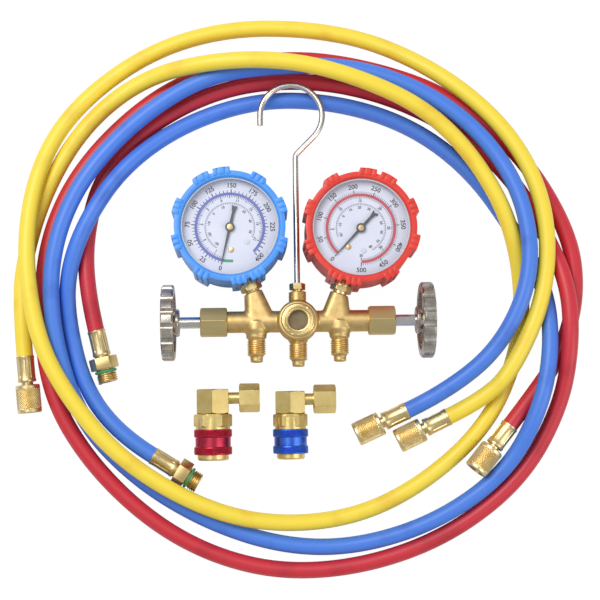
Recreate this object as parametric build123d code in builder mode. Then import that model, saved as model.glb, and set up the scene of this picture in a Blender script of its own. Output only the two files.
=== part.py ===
"""Refrigerant manifold gauge: a two-valve brass manifold with two gauges and its hanging hook,
laid on its back among its own three charging hoses and two quick couplers. Millimetres, +Z up,
+Y towards the hook, +X towards the high side."""

import math
import os

from build123d import *

os.makedirs("parts", exist_ok=True)

# Manifold, in its own bench frame: the bar lies on X, the hook is towards +Y, the dials face +Z.
bar_radius = 6.5
bar_half = 42.3
end_thread_radius = 6.2
end_thread_length = 8.0
port_spacing = 24.9
flare_thread_radius = 5.55
relief_radius = 5.9
port_bore = 2.3
gallery_radius = 2.0
sight_boss_radius = 12.2
sight_seat_radius = 9.4
glass_radius, glass_length = 7.5, 2.0
glass_back = 3.6
glass_front = glass_back + glass_length
lean = 19.0
seat_x = 30.7
stem_radius = 3.45
running_gap = 0.05

# Hexagon nuts, handwheels and their place along the stems.
packing_nut_flats = 16.5
packing_nut_length = 16.0
wheel_face_x = 70.8
wheel_radius = 22.8
wheel_rim_start = 2.9
wheel_rim_end = 10.3
wheel_hub_length = 8.2
scallops = 16
spokes = 5
drive_square = 4.2
screw_radius = 1.2

# Gauges, each in its own frame: 12 o'clock is +Y, z = 0 is the plane of the bar's axis.
gauge_centre = {"low": (40.0, 56.4), "high": (38.5, 55.0)}
socket_length = 41.0
case_radius = 31.0
case_back = -15.4
case_front = 10.0
case_wall = 0.8
boot_radius = case_radius + 2.2
boot_back = -18.0
boot_front = 14.4
boot_lip_radius = case_radius - 1.7
lug_radius = boot_radius + 2.4
lug_width = 10.4
lug_angles = (11, 50, 88, 130, 170)
lens_top = 12.0
dial_top = 7.0
zero_angle = {"low": -122.5, "high": -114.5}
pinion_teeth = 10
sector_teeth_per_turn = 60
gear_module = 0.48
sector_teeth = 12
sector_pivot_angle = -45.0

# Hook rod, and the gland nut that holds it in its boss.
rod_radius = 1.75
hook_boss_end = 17.8
hook_nut_flats = 8.4
hook_nut_start, hook_nut_end = 18.9, 22.8
hook_bend_y = 101.5
hook_centre = (-2.2, 126.2)
hook_radius = 18.9

# How the manifold lies: on its handwheel rims and the far edge of the boots.
manifold_y = -31.8
lean_rad = math.radians(lean)
far_edge_y = gauge_centre["low"][1] + lug_radius
rest_reach = math.hypot(far_edge_y, boot_back)
rest_tilt = math.degrees(math.asin(wheel_radius / rest_reach) - math.atan2(-boot_back, far_edge_y))
at_rest = Location((0, manifold_y, wheel_radius), (-rest_tilt, 0, 0))

# Hoses and their ends.
hose_radius = 5.0
ferrule_length = 15.6
ferrule_radius = 5.35
end_height = 7.5

# Quick couplers lying on the table, with the nose towards -Y.
coupler_sizes = {
    "low": dict(place=(-5.0, -73.2), block_flats=17.6, block=13.7, neck=5.4, nut=13.4,
                collar_corners=20.8, sleeve=10.7, barrel=8.0, nose=8.4, bore=6.5, length=41.0),
    "high": dict(place=(-51.7, -71.4), block_flats=18.9, block=15.0, neck=6.5, nut=12.4,
                 collar_corners=23.2, sleeve=11.5, barrel=9.0, nose=9.4, bore=8.0, length=42.8),
}

arm_share = 0.37
collar_length = 7.8
sleeve_gap = 1.4
sleeve_rim = 4.8
nose_length = 3.4

sides = {"low": -1, "high": 1}


def save(piece, name, place=Location()):
    """Write one finished piece, in its place, as its own STEP file."""
    placed = piece.moved(place)
    placed.label = name
    export_step(placed, f"parts/{name}.step")


def turned(outline):
    """A piece turned about Z from its closed (radius, height) outline."""
    with BuildPart() as piece:
        with BuildSketch(Plane.XZ):
            with BuildLine():
                Polyline(*outline, close=True)
            make_face()
        revolve(axis=Axis.Z)
    return piece.part


def hexagon_bar(flats, start, end, bevel=0.0, corner_turn=0.0):
    """A hexagon bar on Z between two heights, its corners turned off at both ends."""
    corners = flats / math.sqrt(3)
    with BuildPart() as bar:
        with BuildSketch(Plane.XY.offset(start)):
            RegularPolygon(corners, 6, rotation=corner_turn)
        extrude(amount=end - start)
        if bevel:
            drop = bevel * math.tan(math.radians(30))
            add(turned([(0, start), (corners - bevel, start), (corners, start + drop),
                        (corners, end - drop), (corners - bevel, end), (0, end)]),
                mode=Mode.INTERSECT)
    return bar.part


# ---------------------------------------------------------------------------- manifold

port_start, port_end = 10.8, 24.4
centre_port_start, centre_port_end = 13.2, 27.2
tip_radius, tip_length, thread_relief = 3.75, 3.5, 0.8


def flare_port(shoulder, start, end):
    """A port along Z: its cast shoulder, the thread at its outer size, and the plain tip."""
    thread_end = end - tip_length - 1.1
    return turned([*shoulder, (flare_thread_radius - 0.6, start - thread_relief),
                   (flare_thread_radius, start), (flare_thread_radius, thread_end),
                   (tip_radius, end - tip_length), (tip_radius, end - 0.5),
                   (tip_radius - 0.5, end), (0, end)])


side_port = flare_port([(0, 0), (7.2, 0), (7.2, 5.0), (6.1, 7.8), (6.0, port_start - thread_relief)],
                       port_start, port_end)
centre_port = flare_port([(0, 0), (5.8, 0), (5.8, centre_port_start - thread_relief)],
                         centre_port_start, centre_port_end)
hook_boss = turned([(0, 0), (6.2, 0), (6.2, 9.5), (5.1, 11.5), (5.1, hook_boss_end), (0, hook_boss_end)])
sight_boss = turned([(0, -7.6), (11.0, -7.6), (sight_boss_radius, -6.4), (sight_boss_radius, 7.2),
                     (11.0, 8.4), (0, 8.4)])
towards_ports = (90, 0, 0)
towards_hook = (-90, 0, 0)
boss_axis = {side: (sign * math.sin(lean_rad), math.cos(lean_rad)) for side, sign in sides.items()}
gauge_at = {side: (sign * gauge_centre[side][0], gauge_centre[side][1]) for side, sign in sides.items()}
boss_top = {
    side: (gauge_at[side][0] - socket_length * boss_axis[side][0],
           gauge_at[side][1] - socket_length * boss_axis[side][1])
    for side in sides
}

with BuildPart() as manifold_body:
    with BuildSketch(Plane.YZ.offset(-bar_half - end_thread_length)):
        Circle(end_thread_radius)
    extrude(amount=2 * (bar_half + end_thread_length))
    with BuildSketch(Plane.YZ.offset(-bar_half)):
        Circle(bar_radius)
    extrude(amount=2 * bar_half)
    with Locations(*[Location((sign * port_spacing, 0, 0), towards_ports) for sign in (-1, 1)]):
        add(side_port)
    with Locations(Location((0, 0, 0), towards_ports)):
        add(centre_port)
    with Locations(Location((0, 0, 0), towards_hook)):
        add(hook_boss)
    add(sight_boss)
    # The cast gauge bosses lean outwards and narrow towards their tops.
    for side, sign in sides.items():
        foot = Plane((sign * 22.4, 2.0, 0), x_dir=(1, 0, 0), z_dir=(0, 1, 0))
        top = Plane((*boss_top[side], 0), x_dir=(boss_axis[side][1], -boss_axis[side][0], 0),
                    z_dir=(*boss_axis[side], 0))
        with BuildSketch(foot):
            RectangleRounded(18.4, 12.4, 4.5)
        with BuildSketch(top):
            RectangleRounded(11.2, 11.2, 4.5)
        loft()
    # Valve chambers, seats, gallery and port bores.
    for sign in (-1, 1):
        with BuildSketch(Plane.YZ.offset(sign * seat_x)):
            Circle(stem_radius + running_gap)
        extrude(amount=sign * (bar_half + end_thread_length - seat_x), mode=Mode.SUBTRACT)
    with BuildSketch(Plane.YZ.offset(-seat_x)):
        Circle(gallery_radius)
    extrude(amount=2 * seat_x, mode=Mode.SUBTRACT)
    with BuildSketch(Plane.XZ):
        with Locations((-port_spacing, 0), (0, 0), (port_spacing, 0)):
            Circle(port_bore)
    extrude(amount=30, mode=Mode.SUBTRACT)
    # Blind bore for the hook rod, and the stepped seat of the sight glass.
    with BuildSketch(Plane.XZ.offset(-8.0)):
        Circle(rod_radius)
    extrude(amount=-12, mode=Mode.SUBTRACT)
    with Locations((0, 0, 0)):
        Cylinder(6.0, glass_back, align=(Align.CENTER, Align.CENTER, Align.MIN), mode=Mode.SUBTRACT)
    with Locations((0, 0, glass_back)):
        Cylinder(glass_radius, glass_length, align=(Align.CENTER, Align.CENTER, Align.MIN),
                 mode=Mode.SUBTRACT)
    with Locations((0, 0, glass_front)):
        Cylinder(sight_seat_radius, 3.0, align=(Align.CENTER, Align.CENTER, Align.MIN),
                 mode=Mode.SUBTRACT)
    # Threaded sockets for the gauges, each with its passage down to the gallery.
    for side in sides:
        socket_plane = Plane((*boss_top[side], 0), z_dir=(*boss_axis[side], 0))
        with BuildSketch(socket_plane):
            Circle(4.0)
        extrude(amount=-5.5, mode=Mode.SUBTRACT)
        with BuildSketch(socket_plane):
            Circle(1.4)
        extrude(amount=-17.5, mode=Mode.SUBTRACT)
save(manifold_body.part, "manifold_body", at_rest)

with BuildPart() as sight_glass:
    with Locations((0, 0, glass_back)):
        Cylinder(glass_radius, glass_length, align=(Align.CENTER, Align.CENTER, Align.MIN))
save(sight_glass.part, "sight_glass", at_rest)

sight_ring = turned([(5.9, glass_front), (sight_seat_radius, glass_front), (sight_seat_radius, 8.4),
                     (sight_seat_radius + 0.8, 8.4), (sight_seat_radius + 0.8, 9.0),
                     (sight_seat_radius + 0.2, 9.6), (7.9, 9.6), (7.3, 8.8), (6.7, 8.8), (5.9, 8.1)])
save(sight_ring, "sight_ring", at_rest)

# Valve sets: nut, stem, seat disc, wheel and screw, each made once along +Z and laid on X.
nut_blank = hexagon_bar(packing_nut_flats, bar_half, bar_half + packing_nut_length, 1.5)
with BuildPart() as packing_nut:
    add(nut_blank)
    with Locations((0, 0, bar_half)):
        Cylinder(end_thread_radius, end_thread_length, align=(Align.CENTER, Align.CENTER, Align.MIN),
                 mode=Mode.SUBTRACT)
        Cylinder(stem_radius + running_gap, packing_nut_length,
                 align=(Align.CENTER, Align.CENTER, Align.MIN), mode=Mode.SUBTRACT)

disc_start = seat_x + 0.3
disc_length = 4.0
valve_disc = turned([(0, disc_start), (1.6, disc_start), (2.9, disc_start + 1.3),
                     (2.9, disc_start + disc_length), (1.5, disc_start + disc_length),
                     (1.5, disc_start + 1.6), (0, disc_start + 1.6)])

stem_start = disc_start + disc_length + 0.1
stem_end = wheel_face_x + wheel_hub_length
turned_stem = turned([(0, disc_start + 1.7), (1.45, disc_start + 1.7), (1.45, stem_start),
                      (stem_radius, stem_start), (stem_radius, wheel_face_x),
                      (0, wheel_face_x)])
with BuildPart() as valve_stem:
    add(turned_stem)
    with BuildSketch(Plane.XY.offset(wheel_face_x)):
        Rectangle(drive_square, drive_square)
    extrude(amount=stem_end - wheel_face_x)
    with Locations((0, 0, stem_end - 6)):
        Cylinder(screw_radius, 6, align=(Align.CENTER, Align.CENTER, Align.MIN), mode=Mode.SUBTRACT)

with BuildPart() as handwheel:
    # Rim with its finger scallops, hub, then the spokes between them.
    with BuildSketch(Plane.XY.offset(wheel_rim_start)):
        Circle(wheel_radius)
        with PolarLocations(wheel_radius + 1.2, scallops, start_angle=180 / scallops):
            Circle(2.5, mode=Mode.SUBTRACT)
        Circle(17.8, mode=Mode.SUBTRACT)
    extrude(amount=wheel_rim_end - wheel_rim_start)
    add(turned([(0, wheel_rim_start - 1), (wheel_radius - 0.9, wheel_rim_start - 1),
                (wheel_radius - 0.9, wheel_rim_start), (wheel_radius, wheel_rim_start + 0.9),
                (wheel_radius, wheel_rim_end - 0.9), (wheel_radius - 0.9, wheel_rim_end),
                (0, wheel_rim_end)]), mode=Mode.INTERSECT)
    add(turned([(0, 0), (7.6, 0), (8.3, 0.7), (8.3, 2.2), (6.4, 4.0), (6.4, wheel_hub_length),
                (0, wheel_hub_length)]))
    with BuildSketch(Plane.XY.offset(4.4)):
        with PolarLocations(12.1, spokes, start_angle=90):
            Rectangle(13.6, 5.4)
    extrude(amount=2.8)
    with BuildSketch():
        Rectangle(drive_square, drive_square)
    extrude(amount=wheel_hub_length, mode=Mode.SUBTRACT)

wheel_screw = turned([(0, wheel_hub_length - 5.6), (screw_radius, wheel_hub_length - 5.2),
                      (screw_radius, wheel_hub_length), (3.4, wheel_hub_length),
                      (3.4, wheel_hub_length + 1.0), (2.2, wheel_hub_length + 2.0),
                      (0, wheel_hub_length + 2.0)])

for side, sign in sides.items():
    along = at_rest * Location((0, 0, 0), (0, sign * 90, 0))
    save(packing_nut.part, f"packing_nut_{side}", along)
    save(valve_disc, f"valve_disc_{side}", along)
    save(valve_stem.part, f"valve_stem_{side}", along)
    save(handwheel.part, f"handwheel_{side}", along * Location((0, 0, wheel_face_x)))
    save(wheel_screw, f"wheel_screw_{side}", along * Location((0, 0, wheel_face_x)))

# Hook: straight rod, a bend, then an open ring over the top.
bend = (0, hook_bend_y)
to_centre = (hook_centre[0] - bend[0], hook_centre[1] - bend[1])
reach = math.hypot(*to_centre)
touch_angle = (math.degrees(math.atan2(-to_centre[1], -to_centre[0]))
               + math.degrees(math.acos(hook_radius / reach)))
touch = (hook_centre[0] + hook_radius * math.cos(math.radians(touch_angle)),
         hook_centre[1] + hook_radius * math.sin(math.radians(touch_angle)))
tip = (hook_centre[0] - hook_radius, hook_centre[1] - 6.0)
with BuildPart() as hook:
    with BuildLine():
        FilletPolyline((0, 8.0), bend, touch, radius=5.0)
        ring = CenterArc(hook_centre, hook_radius, touch_angle, 180 - touch_angle)
        Line(ring @ 1, tip)
    with BuildSketch(Plane.XZ.offset(-8.0)):
        Circle(rod_radius)
    sweep()
save(hook.part, "hook", at_rest)

hook_nut_blank = hexagon_bar(hook_nut_flats, hook_nut_start, hook_nut_end, 0.5)
with BuildPart() as hook_nut:
    add(hook_nut_blank)
    with Locations((0, 0, hook_boss_end)):
        Cylinder(2.9, hook_nut_start - hook_boss_end, align=(Align.CENTER, Align.CENTER, Align.MIN))
        Cylinder(rod_radius, 6, align=(Align.CENTER, Align.CENTER, Align.MIN), mode=Mode.SUBTRACT)
save(hook_nut.part, "hook_nut", at_rest * Location((0, 0, 0), towards_hook))

# ---------------------------------------------------------------------------- gauges

towards_socket = (90, 0, 0)
socket_stem_radius = 5.0
stem_inner_y = case_radius - 6.0

cup = turned([(0, case_back), (case_radius, case_back), (case_radius, case_front),
              (case_radius - case_wall, case_front), (case_radius - case_wall, case_back + case_wall),
              (0, case_back + case_wall)])
with BuildPart() as gauge_case:
    add(cup)
    with BuildSketch(Plane.XZ.offset(stem_inner_y)):
        Circle(socket_stem_radius)
    extrude(amount=12, mode=Mode.SUBTRACT)

boot_shell = turned([(0, boot_back), (boot_radius - 1.6, boot_back), (boot_radius, boot_back + 1.6),
                     (boot_radius, boot_front - 1.4), (boot_radius - 1.2, boot_front),
                     (boot_lip_radius + 1.0, boot_front), (boot_lip_radius, boot_front - 1.0),
                     (boot_lip_radius, lens_top), (case_radius, lens_top),
                     (case_radius, case_back), (0, case_back)])
with BuildPart() as boot:
    with BuildSketch(Plane.XY.offset(boot_back)):
        for angle in lug_angles:
            for turn in (angle, -angle):
                with Locations(Location((0, 0, 0), (0, 0, -turn))):
                    with Locations((0, boot_radius)):
                        Rectangle(lug_width, 6.0)
        Circle(lug_radius, mode=Mode.INTERSECT)
        Circle(boot_radius - 2.0, mode=Mode.SUBTRACT)
    extrude(amount=boot_front + 0.7 - boot_back)
    add(boot_shell)
    with BuildSketch(Plane.XZ.offset(stem_inner_y)):
        Circle(socket_stem_radius)
    extrude(amount=12, mode=Mode.SUBTRACT)

with BuildPart() as lens:
    with Locations((0, 0, case_front)):
        Cylinder(case_radius, lens_top - case_front, align=(Align.CENTER, Align.CENTER, Align.MIN))

with BuildPart() as dial:
    with BuildSketch(Plane.XY.offset(dial_top - 0.6)):
        Circle(case_radius - case_wall)
        Circle(1.4, mode=Mode.SUBTRACT)
    extrude(amount=0.6)

# Socket: flats for the spanner, stem through the case, and the block that carries the works.
stem_start_y = case_radius - 2.0
hexagon_start, hexagon_end = lug_radius + 0.8, socket_length - 1.5
socket_flats = hexagon_bar(11.5, hexagon_start, hexagon_end, 0.6)
socket_stem = turned([(0, stem_start_y), (socket_stem_radius, stem_start_y),
                      (socket_stem_radius, hexagon_start), (4.3, hexagon_start),
                      (4.3, socket_length), (4.0, socket_length), (4.0, socket_length + 5.5),
                      (0, socket_length + 5.5)])
block_back, block_front = -7.3, 5.0
block_size = (12.0, 9.0)
block_y = -(stem_start_y - block_size[1] / 2)
with BuildPart() as gauge_socket:
    with Locations(Location((0, 0, 0), towards_socket)):
        add(socket_flats)
        add(socket_stem)
    with BuildSketch(Plane.XY.offset(block_back)):
        with Locations((0, block_y)):
            Rectangle(*block_size)
    extrude(amount=block_front - block_back)
    with BuildSketch(Plane.XZ.offset(-block_y)):
        Circle(1.2)
    extrude(amount=30, mode=Mode.SUBTRACT)

# Bourdon tube: a flattened C from the socket block round to its free end.
tube_radius = case_radius - 8.0
with BuildPart() as bourdon_tube:
    with BuildSketch(Plane.XY.offset(-3.5)):
        Circle(tube_radius + 1.2)
        Circle(tube_radius - 1.2, mode=Mode.SUBTRACT)
        with BuildLine():
            Polyline((0, 0), (-6.0, -40), (60, -40), (60, 4.0), close=True)
        make_face(mode=Mode.SUBTRACT)
    extrude(amount=7.0)
    with Locations((0, block_y, 0)):
        Box(*block_size, 20.0, mode=Mode.SUBTRACT)

# Movement: two plates on pillars, the toothed sector between them and the pinion it turns.
pinion_pitch = gear_module * pinion_teeth / 2
sector_pitch = gear_module * sector_teeth_per_turn / 2
pivot = (
    (pinion_pitch + sector_pitch) * math.cos(math.radians(sector_pivot_angle)),
    (pinion_pitch + sector_pitch) * math.sin(math.radians(sector_pivot_angle)),
)
pillars = ((-4.5, 4.5), (3.0, -17.0))
gear_plane = Plane.XY.offset(-5.0)
gear_width = 1.2
with BuildPart() as movement_frame:
    with BuildSketch(Plane.XY.offset(-8.5)):
        with Locations((0, 0), *pillars, pivot, (0, block_y)):
            Circle(2.4)
        make_hull()
    extrude(amount=1.2)
    with BuildSketch(Plane.XY.offset(-2.2)):
        with Locations(*pillars, pivot):
            Circle(2.4)
        make_hull()
    extrude(amount=1.0)
    with BuildSketch(Plane.XY.offset(-7.3)):
        with Locations(*pillars):
            Circle(1.0)
    extrude(amount=5.1)
    with BuildSketch(Plane.XY.offset(-8.5)):
        with Locations((0, 0), pivot):
            Circle(0.8 + running_gap)
    extrude(amount=10, mode=Mode.SUBTRACT)


def tooth(pitch_radius):
    """One straight-sided gear tooth pointing along +X, slim enough to leave backlash."""
    root, top = pitch_radius - 1.2 * gear_module, pitch_radius + 0.8 * gear_module
    with BuildSketch() as outline:
        with BuildLine():
            Polyline((root - 0.3, 0.34), (root, 0.34), (top, 0.14), (top, -0.14), (root, -0.34),
                     (root - 0.3, -0.34), close=True)
        make_face()
    return outline.sketch


pinion_tooth = tooth(pinion_pitch)
sector_tooth = tooth(sector_pitch)

with BuildPart() as pinion:
    with BuildSketch(gear_plane):
        Circle(pinion_pitch - 1.2 * gear_module)
        with PolarLocations(0, pinion_teeth, start_angle=sector_pivot_angle):
            add(pinion_tooth)
    extrude(amount=gear_width)
    with Locations((0, 0, -8.4)):
        Cylinder(0.8, 17.0, align=(Align.CENTER, Align.CENTER, Align.MIN))

# The sector's last tooth is beside the pinion at zero, and its first at full scale.
tooth_step = 360 / sector_teeth_per_turn
facing = sector_pivot_angle + 180
sector_start = facing + (1.5 - (sector_teeth - 1)) * tooth_step
sector_root = sector_pitch - 1.2 * gear_module
with BuildPart() as sector_gear:
    with BuildSketch(gear_plane):
        Circle(2.6)
        with BuildLine():
            Polyline((0, 0), *[
                (sector_root * math.cos(math.radians(sector_start + step * tooth_step)),
                 sector_root * math.sin(math.radians(sector_start + step * tooth_step)))
                for step in range(sector_teeth)
            ], close=True)
        make_face()
        for step in range(sector_teeth):
            with Locations(Location((0, 0, 0), (0, 0, sector_start + step * tooth_step))):
                add(sector_tooth)
    extrude(amount=gear_width)
    with Locations((0, 0, -8.4)):
        Cylinder(0.8, 7.1, align=(Align.CENTER, Align.CENTER, Align.MIN))

# Pointer: a tapered blade with a counterweight tail, on a pressed boss.
with BuildPart() as pointer:
    with BuildSketch(Plane.XY.offset(8.0)):
        with BuildLine():
            Polyline((0, 0.9), (22.0, 0.25), (22.0, -0.25), (0, -0.9), (-9.0, -0.8), (-13.4, -1.8),
                     (-12.2, 0), (-13.4, 1.8), (-9.0, 0.8), close=True)
        make_face()
    extrude(amount=0.5)
    with Locations((0, 0, 7.5)):
        Cylinder(2.8, 1.5, align=(Align.CENTER, Align.CENTER, Align.MIN))
        Cylinder(0.8, 1.1, align=(Align.CENTER, Align.CENTER, Align.MIN), mode=Mode.SUBTRACT)

for side, sign in sides.items():
    in_gauge = at_rest * Location((*gauge_at[side], 0), (0, 0, -sign * lean))
    save(gauge_case.part, f"gauge_case_{side}", in_gauge)
    save(boot.part, f"boot_{side}", in_gauge)
    save(lens.part, f"lens_{side}", in_gauge)
    save(dial.part, f"dial_{side}", in_gauge)
    save(gauge_socket.part, f"gauge_socket_{side}", in_gauge)
    save(bourdon_tube.part, f"bourdon_tube_{side}", in_gauge)
    save(movement_frame.part, f"movement_frame_{side}", in_gauge)
    save(pinion.part, f"pinion_{side}", in_gauge)
    save(sector_gear.part, f"sector_gear_{side}", in_gauge * Location((*pivot, 0)))
    save(pointer.part, f"pointer_{side}", in_gauge * Location((0, 0, 0), (0, 0, zero_angle[side])))

# ---------------------------------------------------------------------------- hoses

# Each route is a list of places along the hose, from the end at the lower right.
hose_routes = {
    "yellow": [
        (91, -90, 10.2), (110, -81, 11.6), (129, -64, 19), (151, -17, 19), (153, 34, 20), (135, 78, 18),
        (100, 114, 14), (55, 141, 5), (9, 151, 5), (-43, 151, 5), (-91, 136, 5), (-135, 103, 5),
        (-157, 64, 12), (-164, 15, 19), (-157, -36, 22), (-140, -72, 22), (-108, -112, 20),
        (-60, -142, 18), (-15, -154, 9), (35, -150, 5), (78, -129, 5), (116, -95, 5), (135, -53, 5),
        (139, -12, 8), (129, 32, 19), (106, 72, 18), (77, 98, 24), (39, 114, 32), (-1, 125, 32),
        (-46, 126, 30), (-91, 120, 11), (-128, 93, 5), (-153, 52, 5), (-167, 5, 5), (-167, -27, 7.5),
        (-165, -50, 7.5),
    ],
    "blue": [
        (66, -86, 9.6), (90, -75, 10.8), (123, -48, 19), (142, -6, 24), (139, 39, 22), (119, 77, 18),
        (85, 106, 18), (40, 124, 18), (-10, 125, 18), (-54, 119, 18), (-96, 93, 18), (-131, 55, 18),
        (-148, 12, 18), (-148, -35, 15), (-133, -87, 9), (-100, -124, 5), (-57, -151, 5),
        (-10, -167, 5), (35, -168, 5), (84, -153, 9), (126, -124, 9), (146, -85, 21), (154, -47, 18),
        (153, -11, 6), (135, 23, 5), (109, 61, 5), (73, 89, 5), (29, 104, 5), (-20, 107, 5),
        (-68, 92, 5), (-104, 65, 14), (-127, 31, 18), (-139, -1, 13), (-139, -31, 5), (-129, -71, 5),
        (-107, -99, 7.5), (-88, -111, 7.5),
    ],
    "red": [
        (128, -96, 12), (140, -81.5, 10.6), (162, -53, 5), (173, -16, 5), (169, 22, 5), (141, 71, 5),
        (97, 108, 5), (47, 126, 5), (-2, 133, 5), (-52, 125, 5), (-91, 105, 5), (-130, 67, 5),
        (-151, 25, 5), (-156, -21, 5), (-151, -72, 5), (-128, -113, 5), (-91, -150, 5), (-50, -173, 5),
        (-5, -183, 5), (46, -178, 5), (94, -160, 5), (136, -128, 5), (160, -85, 9), (166, -46, 18),
        (165, -10, 16), (153, 24, 5), (133, 58, 5), (101, 87, 5), (57, 109, 5), (9, 119, 5),
        (-41, 115, 5), (-86, 94, 5), (-117, 63, 5), (-128, 27, 5), (-128, -9, 7.5), (-122, -35, 7.5),
    ],
}
end_kinds = {"yellow": ("nut", "nut"), "blue": ("nut", "fitting"), "red": ("nut", "fitting")}

nut_start, nut_length, nut_radius = 17.4, 17.0, 7.4
with BuildPart() as nut_end:
    add(turned([(1.8, 0), (ferrule_radius, 0), (ferrule_radius, ferrule_length),
                (3.5, ferrule_length), (3.5, 20.2), (5.0, 20.2), (5.0, 22.0), (3.4, 24.0),
                (1.8, 24.0)]))
with BuildPart() as fitting_end:
    add(turned([(1.8, 0), (ferrule_radius, 0), (ferrule_radius, ferrule_length),
                (1.8, ferrule_length)]))
hose_nut = turned([(3.5 + running_gap, nut_start), (6.6, nut_start), (nut_radius, nut_start + 0.8),
                   (nut_radius, nut_start + nut_length - 0.8), (6.8, nut_start + nut_length),
                   (flare_thread_radius, nut_start + nut_length), (flare_thread_radius, 25.4),
                   (relief_radius, 25.4), (relief_radius, 20.0), (3.5 + running_gap, 20.0)])
fitting_hexagon = hexagon_bar(15.0, ferrule_length + 1.2, ferrule_length + 8.4, 1.0)
with BuildPart() as male_fitting:
    add(fitting_hexagon)
    add(turned([(0, ferrule_length), (4.7, ferrule_length), (4.7, ferrule_length + 2), (0, 18)]))
    add(turned([(0, 20), (5.9, 20), (5.9, 24.3), (4.9, 24.3), (4.9, 26.7), (6.2, 26.7),
                (6.2, 31.4), (5.6, 32.2), (0, 32.2)]))
    Cylinder(2.2, 80, mode=Mode.SUBTRACT)
with BuildPart() as fitting_seal:
    with BuildSketch(Plane.XZ):
        with Locations((5.8, 25.5)):
            Circle(0.9)
    revolve(axis=Axis.Z)


def end_place(end, inner):
    """The frame of a hose end: Z leaves the hose in line with its last run, X is level."""
    outwards = (end - inner).normalized()
    return Plane(end, x_dir=(-outwards.Y, outwards.X, 0), z_dir=outwards).location


for name, points in hose_routes.items():
    route = [Vector(*point) for point in points]
    runs = [(b - a).length for a, b in zip(route, route[1:])]
    turns = [(b - a).get_angle(c - b) for a, b, c in zip(route, route[1:], route[2:])]
    radii = [0.45 * min(before, after) / math.tan(math.radians(turn / 2))
             for before, after, turn in zip(runs, runs[1:], turns)]
    with BuildPart() as hose:
        with BuildLine() as path:
            FilletPolyline(*route, radius=radii)
        with BuildSketch(Plane(route[0], z_dir=route[1] - route[0])):
            Circle(hose_radius)
        sweep()
    save(hose.part, f"hose_{name}")
    length = path.wire().length
    print(f"hose_{name}: length {length:.0f}, radii {min(radii):.0f} to {max(radii):.0f},",
          f"volume ratio {hose.part.volume / (math.pi * hose_radius**2 * length):.4f}")

    ends = {"a": (route[0], route[1]), "b": (route[-1], route[-2])}
    ferrules = Part(children=[
        (nut_end if kind == "nut" else fitting_end).part.moved(end_place(*ends[letter]))
        for letter, kind in zip("ab", end_kinds[name])
    ])
    save(ferrules, f"hose_ends_{name}")
    for letter, kind in zip("ab", end_kinds[name]):
        place = end_place(*ends[letter])
        if kind == "nut":
            save(hose_nut, f"hose_nut_{name}_{letter}", place)
        else:
            save(male_fitting.part, f"male_fitting_{name}", place)
            save(fitting_seal.part, f"fitting_seal_{name}", place)

# ---------------------------------------------------------------------------- quick couplers

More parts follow.
